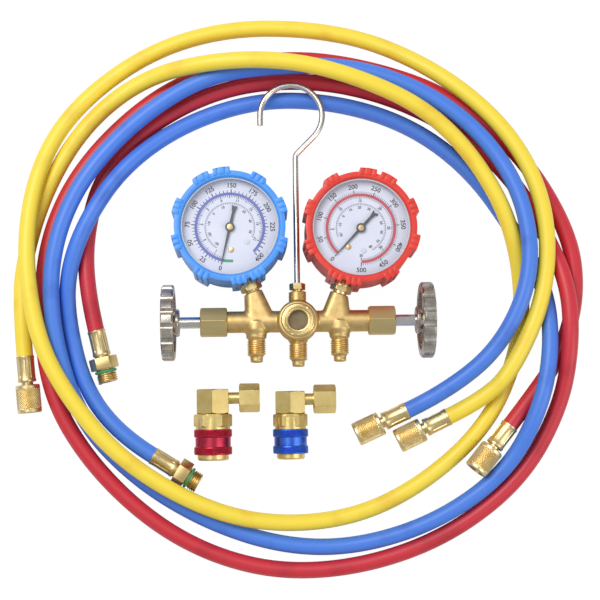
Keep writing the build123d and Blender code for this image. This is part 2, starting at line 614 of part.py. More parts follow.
for side, size in coupler_sizes.items():
    # Made with Z along the body towards the nose and X along the side outlet.
    flats, block = size["block_flats"], size["block"]
    arm = flats / 2
    arm_height = block * arm_share
    arm_end = arm + size["neck"] + 4.2
    collar_flats = size["collar_corners"] * math.cos(math.radians(30))
    sleeve_start = block + collar_length + sleeve_gap
    sleeve_end = size["length"] - nose_length
    boss_radius = size["sleeve"] - 1.3

    block_blank = hexagon_bar(flats, 0, block, 1.8, 30)
    outlet = turned([(0, 0), (3.55, 0), (3.55, arm_end - 3.2), (4.9, arm_end - 3.2),
                     (4.9, arm_end - 1.6), (3.3, arm_end), (0, arm_end)])
    with BuildPart() as elbow:
        add(block_blank)
        with Locations(Location((0, 0, arm_height), (0, 90, 0))):
            add(outlet)
        with BuildSketch(Plane((0, 0, arm_height), x_dir=(0, 1, 0), z_dir=(1, 0, 0))):
            Circle(1.9)
        extrude(amount=30, mode=Mode.SUBTRACT)
        with BuildSketch(Plane.XY.offset(arm_height)):
            Circle(1.9)
        extrude(amount=30, mode=Mode.SUBTRACT)

    collar_blank = hexagon_bar(collar_flats, block, block + collar_length, 1.2)
    barrel, nose, bore, length = size["barrel"], size["nose"], size["bore"], size["length"]
    with BuildPart() as coupler_body:
        add(collar_blank)
        add(turned([(0, block + 2), (boss_radius, block + 2), (boss_radius, sleeve_start + 2.4),
                    (barrel, sleeve_start + 2.4), (barrel, sleeve_end + 0.1),
                    (nose, sleeve_end + 0.1), (nose, length - 0.8), (nose - 0.8, length),
                    (0, length)]))
        with Locations((0, 0, length - 9)):
            Cylinder(bore, 20, align=(Align.CENTER, Align.CENTER, Align.MIN), mode=Mode.SUBTRACT)
        with Locations((0, 0, length - 14)):
            Cylinder(bore - 1.2, 20, align=(Align.CENTER, Align.CENTER, Align.MIN),
                     mode=Mode.SUBTRACT)
        Cylinder(2.6, 80, mode=Mode.SUBTRACT)

    sleeve = size["sleeve"]
    groove = sleeve - 0.9
    coupler_sleeve = turned([
        (boss_radius + 0.3, sleeve_start), (sleeve - 0.6, sleeve_start), (sleeve, sleeve_start + 0.6),
        (sleeve, sleeve_start + sleeve_rim - 0.6), (groove, sleeve_start + sleeve_rim),
        (groove, sleeve_end - sleeve_rim), (sleeve, sleeve_end - sleeve_rim + 0.6),
        (sleeve, sleeve_end - 0.6), (sleeve - 0.6, sleeve_end),
        (barrel + running_gap, sleeve_end), (barrel + running_gap, sleeve_start + 5.6),
        (boss_radius + 0.3, sleeve_start + 5.6)])

    nut_base = arm + size["neck"]
    nut_bar = hexagon_bar(15.2, nut_base, nut_base + size["nut"], 1.0)
    with BuildPart() as coupler_nut:
        add(nut_bar)
        with Locations((0, 0, nut_base - 1)):
            Cylinder(3.55 + running_gap, 20, align=(Align.CENTER, Align.CENTER, Align.MIN),
                     mode=Mode.SUBTRACT)
        with Locations((0, 0, nut_base + 0.9)):
            Cylinder(relief_radius, 4.1, align=(Align.CENTER, Align.CENTER, Align.MIN),
                     mode=Mode.SUBTRACT)
            Cylinder(flare_thread_radius, 20, align=(Align.CENTER, Align.CENTER, Align.MIN),
                     mode=Mode.SUBTRACT)

    pin_base = length - 17
    coupler_pin = turned([(0, pin_base), (2.6, pin_base), (2.6, pin_base + 2.0),
                          (1.4, pin_base + 2.0), (1.4, length - 10.0), (0.9, length - 9.4),
                          (0, length - 9.4)])

    lying = Location((*size["place"], sleeve), (90, 0, 0))
    save(elbow.part, f"coupler_elbow_{side}", lying)
    save(coupler_body.part, f"coupler_body_{side}", lying)
    save(coupler_sleeve, f"coupler_sleeve_{side}", lying)
    save(coupler_pin, f"coupler_pin_{side}", lying)
    save(coupler_nut.part, f"coupler_nut_{side}",
         lying * Location((0, 0, arm_height), (0, 90, 0)))
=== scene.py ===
import math

import bpy
from mathutils import Matrix, Vector


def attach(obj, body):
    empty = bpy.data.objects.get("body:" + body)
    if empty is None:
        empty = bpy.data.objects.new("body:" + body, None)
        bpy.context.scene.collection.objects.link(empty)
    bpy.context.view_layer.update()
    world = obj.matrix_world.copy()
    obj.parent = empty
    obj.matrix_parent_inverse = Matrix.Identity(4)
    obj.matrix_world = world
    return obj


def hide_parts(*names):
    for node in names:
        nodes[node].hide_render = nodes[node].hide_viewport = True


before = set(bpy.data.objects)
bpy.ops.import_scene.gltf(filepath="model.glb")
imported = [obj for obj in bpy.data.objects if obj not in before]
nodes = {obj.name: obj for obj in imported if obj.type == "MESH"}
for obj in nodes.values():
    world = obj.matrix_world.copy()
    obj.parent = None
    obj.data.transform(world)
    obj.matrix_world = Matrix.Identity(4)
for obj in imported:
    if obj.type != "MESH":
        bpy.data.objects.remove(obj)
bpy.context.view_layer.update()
mm = 0.001

# Bench camera.
# It looks down at the set from a little below and to the left of its middle, with a slight roll.
camera_place = Vector((-0.0264, -0.0810, 0.9099))
camera_aim = Vector((0.0015, -0.0189, 0.0225))
camera_roll = math.radians(-0.8)
focal_length, film_width = 89.0, 36.0

back = (camera_place - camera_aim).normalized()
right = Vector((0, 1, 0)).cross(back).normalized()
facing = Matrix((right, back.cross(right), back)).transposed()
rolled = facing @ Matrix.Rotation(camera_roll, 3, "Z")
bpy.ops.object.camera_add(location=camera_place, rotation=rolled.to_euler())
camera = bpy.context.object
camera.data.lens = focal_length
camera.data.sensor_width = film_width
bpy.context.scene.camera = camera

# Table.
# A pale matt sweep that takes a soft shadow; a faint glow of its own brings it almost to white
# where the camera sees it.
table_size, table_height = 6.0, -0.0002
table_colour = (0.86, 0.86, 0.86, 1)
table_glow, white_share = 1.06, 0.92

bpy.ops.object.select_all(action="DESELECT")
bpy.ops.mesh.primitive_plane_add(size=table_size, location=(0, 0, table_height))
table = bpy.context.object
table.name = "table"
paper = bpy.data.materials.new("white_sweep")
paper.use_nodes = True
paper.cycles.emission_sampling = "NONE"
tree = paper.node_tree
link = tree.links.new
shader = tree.nodes["Principled BSDF"]
shader.inputs["Base Color"].default_value = table_colour
shader.inputs["Roughness"].default_value = 0.9
shader.inputs["Specular IOR Level"].default_value = 0.1
rays = tree.nodes.new("ShaderNodeLightPath")
seen = tree.nodes.new("ShaderNodeMath")
seen.operation = "MAXIMUM"
link(rays.outputs["Is Camera Ray"], seen.inputs[0])
link(rays.outputs["Is Transmission Ray"], seen.inputs[1])
share = tree.nodes.new("ShaderNodeMath")
share.operation = "MULTIPLY"
share.inputs[1].default_value = white_share
white_glow = tree.nodes.new("ShaderNodeEmission")
white_glow.inputs["Strength"].default_value = table_glow
burnt_out = tree.nodes.new("ShaderNodeMixShader")
link(seen.outputs[0], share.inputs[0])
link(share.outputs[0], burnt_out.inputs["Fac"])
link(shader.outputs["BSDF"], burnt_out.inputs[1])
link(white_glow.outputs[0], burnt_out.inputs[2])
link(burnt_out.outputs[0], tree.nodes["Material Output"].inputs["Surface"])
table.data.materials.append(paper)

# Studio light.
# One broad softbox high on the left, a long strip on the right and a weak grey surround.
key_spot, key_size, key_power = (-0.55, 0.55, 1.25), 0.9, 13.0
strip_spot, strip_size, strip_power = (0.95, -0.35, 0.85), (0.25, 1.1), 4.0
surround = (0.75, 0.78, 0.82, 1)
surround_strength = 0.55

bpy.ops.object.light_add(type="AREA", location=key_spot)
key = bpy.context.object
key.data.size = key_size
key.data.energy = key_power
key.rotation_euler = (-key.location).to_track_quat("-Z", "Y").to_euler()
bpy.ops.object.light_add(type="AREA", location=strip_spot)
strip = bpy.context.object
strip.data.shape = "RECTANGLE"
strip.data.size, strip.data.size_y = strip_size
strip.data.energy = strip_power
strip.rotation_euler = (-strip.location).to_track_quat("-Z", "Y").to_euler()

world = bpy.data.worlds.new("studio")
bpy.context.scene.world = world
world.use_nodes = True
sky = world.node_tree
link = sky.links.new
backdrop = sky.nodes["Background"]
backdrop.inputs["Color"].default_value = surround
backdrop.inputs["Strength"].default_value = surround_strength
white = sky.nodes.new("ShaderNodeBackground")
rays = sky.nodes.new("ShaderNodeLightPath")
chosen = sky.nodes.new("ShaderNodeMixShader")
link(rays.outputs["Is Camera Ray"], chosen.inputs["Fac"])
link(backdrop.outputs[0], chosen.inputs[1])
link(white.outputs[0], chosen.inputs[2])
link(chosen.outputs[0], sky.nodes["World Output"].inputs["Surface"])
bpy.context.scene.view_settings.view_transform = "Standard"

# Charging hoses.
# Three smooth rubber hoses, 10 mm across and about 1.57 m long, thrown in loose loops round the
# set; each keeps the curl that it was coiled in, and the extruded cover is faintly mottled.
hose_diameter = 0.010
hose_colours = {
    "yellow": ((1.0, 0.76, 0.06, 1), (0.86, 0.48, 0.035, 1)),
    "blue": ((0.075, 0.23, 0.80, 1), (0.03, 0.09, 0.45, 1)),
    "red": ((0.66, 0.028, 0.045, 1), (0.40, 0.014, 0.025, 1)),
}

# The line that each hose lies on, in millimetres, from its flare nut to its far end.
hose_spots = {
    "yellow": [
        (91, -90, 10.2), (110, -81, 11.6), (129, -64, 19), (151, -17, 19), (153, 34, 20),
        (135, 78, 18), (100, 114, 14), (55, 141, 5), (9, 151, 5), (-43, 151, 5), (-91, 136, 5),
        (-135, 103, 5), (-157, 64, 12), (-164, 15, 19), (-157, -36, 22), (-140, -72, 22),
        (-108, -112, 20), (-60, -142, 18), (-15, -154, 9), (35, -150, 5), (78, -129, 5),
        (116, -95, 5), (135, -53, 5), (139, -12, 8), (129, 32, 19), (106, 72, 18), (77, 98, 24),
        (39, 114, 32), (-1, 125, 32), (-46, 126, 30), (-91, 120, 11), (-128, 93, 5), (-153, 52, 5),
        (-167, 5, 5), (-167, -27, 7.5), (-165, -50, 7.5),
    ],
    "blue": [
        (66, -86, 9.6), (90, -75, 10.8), (123, -48, 19), (142, -6, 24), (139, 39, 22),
        (119, 77, 18), (85, 106, 18), (40, 124, 18), (-10, 125, 18), (-54, 119, 18), (-96, 93, 18),
        (-131, 55, 18), (-148, 12, 18), (-148, -35, 15), (-133, -87, 9), (-100, -124, 5),
        (-57, -151, 5), (-10, -167, 5), (35, -168, 5), (84, -153, 9), (126, -124, 9),
        (146, -85, 21), (154, -47, 18), (153, -11, 6), (135, 23, 5), (109, 61, 5), (73, 89, 5),
        (29, 104, 5), (-20, 107, 5), (-68, 92, 5), (-104, 65, 14), (-127, 31, 18), (-139, -1, 13),
        (-139, -31, 5), (-129, -71, 5), (-107, -99, 7.5), (-88, -111, 7.5),
    ],
    "red": [
        (128, -96, 12), (140, -81.5, 10.6), (162, -53, 5), (173, -16, 5), (169, 22, 5),
        (141, 71, 5), (97, 108, 5), (47, 126, 5), (-2, 133, 5), (-52, 125, 5), (-91, 105, 5),
        (-130, 67, 5), (-151, 25, 5), (-156, -21, 5), (-151, -72, 5), (-128, -113, 5),
        (-91, -150, 5), (-50, -173, 5), (-5, -183, 5), (46, -178, 5), (94, -160, 5), (136, -128, 5),
        (160, -85, 9), (166, -46, 18), (165, -10, 16), (153, 24, 5), (133, 58, 5), (101, 87, 5),
        (57, 109, 5), (9, 119, 5), (-41, 115, 5), (-86, 94, 5), (-117, 63, 5), (-128, 27, 5),
        (-128, -9, 7.5), (-122, -35, 7.5),
    ],
}
hose_routes = {colour: [tuple(round(size * mm, 5) for size in spot) for spot in spots]
               for colour, spots in hose_spots.items()}


def hose_rubber(name, colour, stain):
    """Extruded rubber cover: a soft sheen, broad stains and a fine drawn grain."""
    material = bpy.data.materials.new(name)
    material.use_nodes = True
    tree = material.node_tree
    link = tree.links.new
    shader = tree.nodes["Principled BSDF"]
    place = tree.nodes.new("ShaderNodeTexCoord")
    stains = tree.nodes.new("ShaderNodeTexNoise")
    stains.inputs["Scale"].default_value = 38.0
    stains.inputs["Detail"].default_value = 5.0
    tones = tree.nodes.new("ShaderNodeValToRGB")
    tones.color_ramp.elements[0].position = 0.56
    tones.color_ramp.elements[0].color = colour
    tones.color_ramp.elements[1].position = 0.86
    tones.color_ramp.elements[1].color = stain
    grain = tree.nodes.new("ShaderNodeTexNoise")
    grain.inputs["Scale"].default_value = 900.0
    grain.inputs["Detail"].default_value = 3.0
    relief = tree.nodes.new("ShaderNodeBump")
    relief.inputs["Strength"].default_value = 0.10
    relief.inputs["Distance"].default_value = 0.0002
    gloss = tree.nodes.new("ShaderNodeMapRange")
    gloss.inputs["To Min"].default_value = 0.34
    gloss.inputs["To Max"].default_value = 0.50
    link(place.outputs["Object"], stains.inputs["Vector"])
    link(place.outputs["Object"], grain.inputs["Vector"])
    link(stains.outputs["Fac"], tones.inputs["Fac"])
    link(tones.outputs["Color"], shader.inputs["Base Color"])
    link(stains.outputs["Fac"], gloss.inputs["Value"])
    link(gloss.outputs["Result"], shader.inputs["Roughness"])
    link(grain.outputs["Fac"], relief.inputs["Height"])
    link(relief.outputs["Normal"], shader.inputs["Normal"])
    shader.inputs["Specular IOR Level"].default_value = 0.55
    return material


hoses = {}
for colour, route in hose_routes.items():
    line = bpy.data.curves.new(f"{colour}_hose_cover", "CURVE")
    line.dimensions = "3D"
    line.bevel_depth = hose_diameter / 2
    line.bevel_resolution = 8
    line.resolution_u = 14
    line.use_fill_caps = True
    spline = line.splines.new("NURBS")
    spline.points.add(len(route) - 1)
    for point, place in zip(spline.points, route):
        point.co = (*place, 1)
    spline.order_u = 3
    spline.use_endpoint_u = True
    line.materials.append(hose_rubber(f"{colour}_hose_rubber", *hose_colours[colour]))
    hoses[colour] = bpy.data.objects.new(f"{colour}_hose_cover", line)
    bpy.context.collection.objects.link(hoses[colour])
    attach(hoses[colour], "manifold")
    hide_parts(f"hose_{colour}")

# Manifold body.
# One brass casting with a fine peened skin and soft fillets where the bosses run into the bar;
# its three ports are turned down afterwards and cut with a 7/16-20 thread.
rest_tilt = math.radians(-3.006)
bench = Matrix.Translation((0, -31.8 * mm, 22.8 * mm)) @ Matrix.Rotation(rest_tilt, 4, "X")
port_spacing = 24.9 * mm
thread_pitch = 1.27 * mm
thread_root, thread_crest = 4.80 * mm, 5.55 * mm
ridge_rise, ridge_fall, ridge_foot = 0.42, 0.54, 0.96
ports_from = -10 * mm
turned_from, turned_to = 5.3 * mm, 5.7 * mm
casting_grain, casting_softening, casting_melt = 0.42 * mm, 10, 0.5


def metal(name, colour, dark, roughness, mottle, relief_depth, drawn=(1, 1, 1)):
    """A worked metal: two near tones of tarnish, a matching spread of gloss and a fine relief."""
    material = bpy.data.materials.new(name)
    material.use_nodes = True
    tree = material.node_tree
    link = tree.links.new
    shader = tree.nodes["Principled BSDF"]
    shader.inputs["Metallic"].default_value = 1.0
    place = tree.nodes.new("ShaderNodeTexCoord")
    grain = tree.nodes.new("ShaderNodeMapping")
    grain.inputs["Scale"].default_value = drawn
    stain = tree.nodes.new("ShaderNodeTexNoise")
    stain.inputs["Scale"].default_value = mottle * 0.16
    stain.inputs["Detail"].default_value = 4.0
    skin = tree.nodes.new("ShaderNodeTexNoise")
    skin.inputs["Scale"].default_value = mottle
    skin.inputs["Detail"].default_value = 3.0
    tones = tree.nodes.new("ShaderNodeValToRGB")
    tones.color_ramp.elements[0].position = 0.30
    tones.color_ramp.elements[0].color = dark
    tones.color_ramp.elements[1].position = 0.64
    tones.color_ramp.elements[1].color = colour
    gloss = tree.nodes.new("ShaderNodeMapRange")
    gloss.inputs["To Min"].default_value = roughness * 1.25
    gloss.inputs["To Max"].default_value = roughness * 0.8
    relief = tree.nodes.new("ShaderNodeBump")
    relief.inputs["Strength"].default_value = 0.35
    relief.inputs["Distance"].default_value = relief_depth
    link(place.outputs["Object"], grain.inputs["Vector"])
    link(grain.outputs["Vector"], stain.inputs["Vector"])
    link(grain.outputs["Vector"], skin.inputs["Vector"])
    link(stain.outputs["Fac"], tones.inputs["Fac"])
    link(tones.outputs["Color"], shader.inputs["Base Color"])
    link(skin.outputs["Fac"], gloss.inputs["Value"])
    link(gloss.outputs["Result"], shader.inputs["Roughness"])
    link(skin.outputs["Fac"], relief.inputs["Height"])
    link(relief.outputs["Normal"], shader.inputs["Normal"])
    return material


def pick_up(piece):
    """Select one piece alone and make it the active one."""
    bpy.ops.object.select_all(action="DESELECT")
    piece.select_set(True)
    bpy.context.view_layer.objects.active = piece


def begin_edit(piece, chosen=None, by="VERT"):
    """Open one piece for editing, with what a rule chooses on it selected, or else all of it."""
    pick_up(piece)
    bpy.ops.object.mode_set(mode="EDIT")
    bpy.ops.mesh.select_mode(type=by)
    bpy.ops.mesh.select_all(action="DESELECT" if chosen else "SELECT")
    if chosen:
        end_edit()
        for item in piece.data.polygons if by == "FACE" else piece.data.vertices:
            item.select = chosen(item)
        bpy.ops.object.mode_set(mode="EDIT")


def end_edit():
    """Close the piece that is open."""
    bpy.ops.object.mode_set(mode="OBJECT")


def apply_modifiers(piece):
    """Apply all the modifiers of one piece in their order."""
    pick_up(piece)
    for modifier in list(piece.modifiers):
        bpy.ops.object.modifier_apply(modifier=modifier.name)


def close_up(piece):
    """Merge doubled points and turn all faces outwards."""
    begin_edit(piece)
    bpy.ops.mesh.remove_doubles(threshold=0.000002)
    bpy.ops.mesh.normals_make_consistent(inside=False)
    end_edit()


def finish_piece(piece, material, body, *replaced, slot=None, smooth=30, place=None):
    """Lay a piece in its place; give it its finish and its body; hide the nodes it stands for."""
    pick_up(piece)
    if place:
        piece.matrix_world = place
        bpy.ops.object.transform_apply(location=True, rotation=True, scale=True)
    if smooth:
        bpy.ops.object.shade_smooth_by_angle(angle=math.radians(smooth))
    piece.data.materials.clear()
    piece.data.materials.append(material)
    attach(piece, body)
    if replaced:
        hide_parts(*replaced)
    return piece


def thread_ridge(name, turns, start, body, material, place, root=thread_root, crest=thread_crest,
                 pitch=thread_pitch):
    """The ridge of a right-hand thread: one cut profile screwed along the axis, its ends closed."""
    bpy.ops.object.select_all(action="DESELECT")
    bpy.ops.mesh.primitive_plane_add(size=1)
    ridge = bpy.context.object
    ridge.name = name
    profile = ((root, start), (crest, start + ridge_rise * pitch),
               (crest, start + ridge_fall * pitch), (root, start + ridge_foot * pitch))
    for corner, (radius, height) in zip((0, 1, 3, 2), profile):
        ridge.data.vertices[corner].co = (radius, 0, height)
    begin_edit(ridge)
    bpy.ops.mesh.delete(type="ONLY_FACE")
    end_edit()
    screw = ridge.modifiers.new("thread", "SCREW")
    screw.angle = 2 * math.pi * turns
    screw.screw_offset = pitch * turns
    screw.steps = screw.render_steps = int(32 * turns)
    screw.use_merge_vertices = False
    apply_modifiers(ridge)
    begin_edit(ridge)
    bpy.ops.mesh.fill_holes(sides=4)
    bpy.ops.mesh.normals_make_consistent(inside=False)
    end_edit()
    return finish_piece(ridge, material, body, slot="brass", smooth=25, place=place)


cast_brass = metal("cast_brass", (0.76, 0.545, 0.235, 1), (0.62, 0.42, 0.16, 1), 0.47, 1500.0,
                   0.00012)
thread_brass = metal("thread_brass", (0.88, 0.68, 0.34, 1), (0.78, 0.56, 0.25, 1), 0.36, 900.0,
                     0.00001)
casting = bpy.data.objects.new("manifold_casting", nodes["manifold_body"].data.copy())
bpy.context.collection.objects.link(casting)
close_up(casting)

# The outside of each port goes in to the root of the thread that is cut on it.
to_bench = bench.inverted()
for point in casting.data.vertices:
    x, y, z = to_bench @ point.co
    axis_x = round(x / port_spacing) * port_spacing
    radius = math.hypot(x - axis_x, z)
    if y <= ports_from and turned_from < radius < turned_to:
        inward = thread_root / radius
        point.co = bench @ Vector((axis_x + (x - axis_x) * inward, y, z * inward))
remesh = casting.modifiers.new("even_skin", "REMESH")
remesh.mode = "VOXEL"
remesh.voxel_size = casting_grain
fillet = casting.modifiers.new("fillets", "SMOOTH")
fillet.factor = casting_melt
fillet.iterations = casting_softening
apply_modifiers(casting)
finish_piece(casting, cast_brass, "manifold", "manifold_body", slot="brass", smooth=60)

threads = {"low_port": (-port_spacing, 10.9, 6.6), "centre_port": (0, 13.3, 7.0),
           "high_port": (port_spacing, 10.9, 6.6)}
for name, (x, start, turns) in threads.items():
    port_axis = bench @ Matrix.Translation((x, 0, 0)) @ Matrix.Rotation(math.radians(90), 4, "X")
    thread_ridge(f"{name}_thread", turns, start * mm, "manifold", thread_brass, port_axis)

# Sight glass and its ring.
# A thick glass looks into the centre gallery, coloured opaque dark brown as painted shade of the
# brass recess behind it; a turned brass ring with two pin holes screws it down on its seat.


def broken_edges(part, width, finish, limit=30, segments=2):
    """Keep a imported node, weld its skin, break its edges and give it its finish."""
    weld = part.modifiers.new("weld", "WELD")
    weld.merge_threshold = 0.000002
    bevel = part.modifiers.new("broken_edges", "BEVEL")
    bevel.width = width
    bevel.segments = segments
    bevel.limit_method = "ANGLE"
    bevel.angle_limit = math.radians(limit)
    for face in part.data.polygons:
        face.use_smooth = True
    even = part.modifiers.new("even_shading", "WEIGHTED_NORMAL")
    even.keep_sharp = True
    part.data.materials.clear()
    part.data.materials.append(finish)


def new_ring(name, vertices, radius):
    """A bare circle, ready for the lathe."""
    bpy.ops.object.select_all(action="DESELECT")
    bpy.ops.mesh.primitive_circle_add(vertices=vertices, radius=radius * mm, location=(0, 0, 0))
    bpy.context.object.name = name
    return bpy.context.object


def lathe(outline):
    """Draw the open circle of the active piece out into a closed ring along its outline."""
    begin_edit(bpy.context.object)
    bpy.ops.transform.translate(value=(0, 0, outline[0][1] * mm))
    for (before, low), (after, high) in zip(outline, outline[1:]):
        bpy.ops.mesh.extrude_edges_move(TRANSFORM_OT_translate={"value": (0, 0, (high - low) * mm)})
        bpy.ops.transform.resize(value=(after / before, after / before, 1))
    end_edit()
    close_up(bpy.context.object)


def push_faces(piece, chosen, push):
    """Draw the faces that a rule chooses out of a piece, or press them into it."""
    begin_edit(piece, lambda face: chosen(face.center, face.normal), "FACE")
    bpy.ops.mesh.extrude_region_move(TRANSFORM_OT_translate={"value": push})
    end_edit()


turned_brass = metal("turned_brass", (0.84, 0.65, 0.31, 1), (0.74, 0.54, 0.23, 1), 0.30, 900.0,
                     0.00001)
# The glass is opaque: its dark brown colour is painted shade of the brass recess seen through it.
glass_with_painted_shade = bpy.data.materials.new("sight_glass_painted_shade")
glass_with_painted_shade.use_nodes = True
shaded_glass_tree = glass_with_painted_shade.node_tree
link = shaded_glass_tree.links.new
glass_shader = shaded_glass_tree.nodes["Principled BSDF"]
glass_place = shaded_glass_tree.nodes.new("ShaderNodeTexCoord")
painted_shade_mottle = shaded_glass_tree.nodes.new("ShaderNodeTexNoise")
painted_shade_mottle.inputs["Scale"].default_value = 110.0
painted_shade_mottle.inputs["Detail"].default_value = 3.0
# Two dark brown tones of painted shade, mottled at random over the glass.
painted_shade_tones = shaded_glass_tree.nodes.new("ShaderNodeValToRGB")
painted_shade_tones.color_ramp.elements[0].position = 0.35
painted_shade_tones.color_ramp.elements[0].color = (0.17, 0.12, 0.055, 1)
painted_shade_tones.color_ramp.elements[1].position = 0.68
painted_shade_tones.color_ramp.elements[1].color = (0.28, 0.215, 0.12, 1)
link(glass_place.outputs["Object"], painted_shade_mottle.inputs["Vector"])
link(painted_shade_mottle.outputs["Fac"], painted_shade_tones.inputs["Fac"])
link(painted_shade_tones.outputs["Color"], glass_shader.inputs["Base Color"])
glass_shader.inputs["Roughness"].default_value = 0.12
glass_shader.inputs["Coat Weight"].default_value = 0.6
broken_edges(nodes["sight_glass"], 0.1 * mm, glass_with_painted_shade)

ring_outline = ((5.9, 5.6), (5.9, 8.5), (6.2, 8.8), (7.0, 8.9), (7.15, 8.75), (7.35, 8.75),
                (7.5, 9.35), (7.8, 9.6), (8.3, 9.6), (8.4, 9.5), (8.5, 9.6), (9.4, 9.55),
                (9.95, 9.2), (10.2, 8.8), (10.2, 8.4), (9.4, 8.4), (9.4, 5.6), (5.9, 5.6))
pin_hole_turn, pin_hole_width, pin_hole_depth = 60, 6, 0.9 * mm
pin_hole_from, pin_hole_to = 8.6 * mm, 9.4 * mm


def in_pin_hole(spot, normal):
    """Two short arcs on the ring's face, opposite each other."""
    turn = math.degrees(math.atan2(spot.y, spot.x)) % 180
    return (normal.z > 0.9 and pin_hole_from < math.hypot(*spot.xy) < pin_hole_to
            and abs(turn - pin_hole_turn) < pin_hole_width)


sight_ring = new_ring("sight_glass_ring", 96, 5.9)
lathe(ring_outline)
push_faces(sight_ring, in_pin_hole, (0, 0, -pin_hole_depth))
soft_edge = sight_ring.modifiers.new("broken_edges", "BEVEL")
soft_edge.width = 0.12 * mm
soft_edge.segments = 2
apply_modifiers(sight_ring)
finish_piece(sight_ring, turned_brass, "manifold", "sight_ring", slot="brass", place=bench)

# Valves.
# Each has a hexagon packing nut of drawn brass, a nickelled stem and, on the stem's square, a
# die-cast nickel wheel with sixteen finger lobes, held by a pan-head screw.
drawn_brass = metal("drawn_brass", (0.83, 0.65, 0.31, 1), (0.69, 0.50, 0.20, 1), 0.36, 700.0,
                    0.00002, drawn=(0.12, 1, 1))
cast_nickel = metal("cast_nickel", (0.70, 0.64, 0.565, 1), (0.36, 0.315, 0.27, 1), 0.27, 1000.0,
                    0.00004)
bright_nickel = metal("bright_nickel", (0.80, 0.775, 0.73, 1), (0.70, 0.67, 0.62, 1), 0.13, 700.0,
                      0.000004)
for side in ("low", "high"):
    broken_edges(nodes[f"packing_nut_{side}"], 0.4 * mm, drawn_brass)
    broken_edges(nodes[f"valve_stem_{side}"], 0.1 * mm, bright_nickel)
    broken_edges(nodes[f"valve_disc_{side}"], 0.1 * mm, turned_brass)
    broken_edges(nodes[f"handwheel_{side}"], 0.45 * mm, cast_nickel, limit=28, segments=3)
    broken_edges(nodes[f"wheel_screw_{side}"], 0.15 * mm, bright_nickel)

# Hook.
# A bent rod of satin nickelled steel stands in the centre boss, under a small brass gland nut;
# the boss has a thread of its own below the nut.
satin_nickel = metal("satin_nickel", (0.76, 0.72, 0.63, 1), (0.66, 0.615, 0.52, 1), 0.27, 800.0,
                     0.000006)
broken_edges(nodes["hook"], 0.15 * mm, satin_nickel, limit=40)
broken_edges(nodes["hook_nut"], 0.2 * mm, turned_brass)
hook_axis = bench @ Matrix.Rotation(math.radians(-90), 4, "X")
hook_turns, hook_thread_from, hook_pitch = 6.0, 11.7 * mm, 0.9 * mm
hook_root, hook_crest = 4.85 * mm, 5.35 * mm
thread_ridge("hook_boss_thread", hook_turns, hook_thread_from, "manifold", thread_brass, hook_axis,
             root=hook_root, crest=hook_crest, pitch=hook_pitch)

# Gauges.
# Each has a socket of brass bar screwed into its boss, a black drawn-steel case, and inside it the
# flattened tube, the two-plate movement and the toothed sector that turn the pointer.
black_enamel = metal("black_enamel", (0.022, 0.022, 0.024, 1), (0.014, 0.014, 0.016, 1), 0.42,
                     900.0, 0.00001)
black_enamel.node_tree.nodes["Principled BSDF"].inputs["Metallic"].default_value = 0.0
for side in ("low", "high"):
    broken_edges(nodes[f"gauge_socket_{side}"], 0.2 * mm, turned_brass)
    broken_edges(nodes[f"gauge_case_{side}"], 0.2 * mm, black_enamel, limit=40)
    broken_edges(nodes[f"bourdon_tube_{side}"], 0.2 * mm, turned_brass, limit=40)
    broken_edges(nodes[f"movement_frame_{side}"], 0.1 * mm, turned_brass, limit=40)
    broken_edges(nodes[f"sector_gear_{side}"], 0.02 * mm, turned_brass, limit=40)
    broken_edges(nodes[f"pinion_{side}"], 0.02 * mm, turned_brass, limit=40)

# Dials.
# White-painted discs, each printed with a black pressure scale round a coloured band, a grey
# scale in a second unit inside the band and a grey temperature circle inside that.
gauge_lean = math.radians(19.0)
gauge_places = {
    "low": bench @ Matrix.Translation((-40.0 * mm, 56.4 * mm, 0))
    @ Matrix.Rotation(gauge_lean, 4, "Z"),
    "high": bench @ Matrix.Translation((38.5 * mm, 55.0 * mm, 0))
    @ Matrix.Rotation(-gauge_lean, 4, "Z"),
}
print_height = 7.03 * mm
letter_weight = 0.09 * mm
upright_below = -0.35
number_spot, number_height = 25.4, 3.9
mark_inside, mark_outside, mark_width = 20.9, 23.2, 0.60
fine_outside, fine_width = 22.5, {"low": 0.40, "high": 0.32}
band_inside, band_outside = 19.5, 21.2
inner_fine_inside, inner_fine_width = 18.3, 0.34
inner_mark_inside, inner_mark_width = {"low": 17.7, "high": 17.6}, 0.46
inner_number_spot, inner_number_height = 16.6, 2.2
circle_inside, circle_outside = 14.85, 15.05
circle_mark_inside, circle_mark_outside, circle_mark_width = 13.9, 15.0, 0.28
circle_number_spot, circle_number_height = 12.6, 2.1


def paint(name, colour, shade, roughness, grain=300.0, relief=0.000003):
    """Paint or ink: an even coat with a slight change of tone and a faint orange-peel skin."""
    material = metal(name, colour, shade, roughness, grain, relief)
    material.node_tree.nodes["Principled BSDF"].inputs["Metallic"].default_value = 0.0
    return material


dial_paint = paint("dial_paint", (0.80, 0.82, 0.93, 1), (0.74, 0.76, 0.90, 1), 0.5)
inks = {
    "black": paint("black_ink", (0.012, 0.012, 0.02, 1), (0.02, 0.02, 0.03, 1), 0.5),
    "grey": paint("grey_ink", (0.05, 0.05, 0.07, 1), (0.08, 0.08, 0.10, 1), 0.5),
    "blue": paint("blue_ink", (0.10, 0.13, 0.50, 1), (0.14, 0.17, 0.56, 1), 0.5),
    "red": paint("red_ink", (0.55, 0.03, 0.06, 1), (0.62, 0.05, 0.08, 1), 0.5),
    "green": paint("green_ink", (0.03, 0.30, 0.12, 1), (0.04, 0.36, 0.15, 1), 0.5),
}


